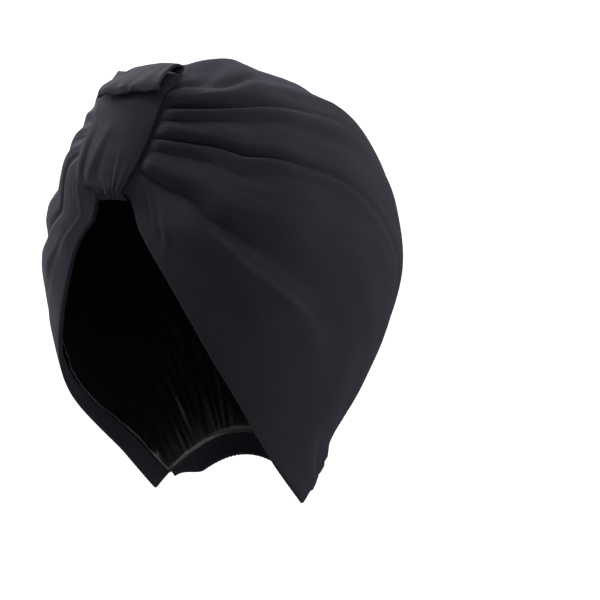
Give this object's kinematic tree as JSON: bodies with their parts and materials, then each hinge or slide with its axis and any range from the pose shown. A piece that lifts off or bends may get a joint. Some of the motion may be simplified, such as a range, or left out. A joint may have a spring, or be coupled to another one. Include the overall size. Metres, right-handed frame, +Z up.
{
  "type": "turban headwrap",
  "caption": "Pleated jersey turban headwrap with a gathered forehead band, a tail folded over it, a smooth lining and an elastic nape casing.",
  "frame": {"origin": "inside top of the lining, where the crown of the wearer's head bears", "axes": "+Z up with the head upright, -Y the way the wearer faces, +X the wearer's left"},
  "size_m": [0.1795, 0.2173, 0.245],
  "materials": {
    "crown": "matte black stretch jersey, finely knitted",
    "lining": "glossy black satin",
    "knot_band": "matte black stretch jersey, softly creased",
    "band_tail": "matte black stretch jersey, smooth",
    "nape_casing": "matte black jersey gathered over elastic"
  },
  "bodies": {
    "root": {"crown": "crown", "lining": "lining", "knot_band": "knot_band", "band_tail": "band_tail", "nape_casing": "nape_casing"}
  },
  "joints": []
}
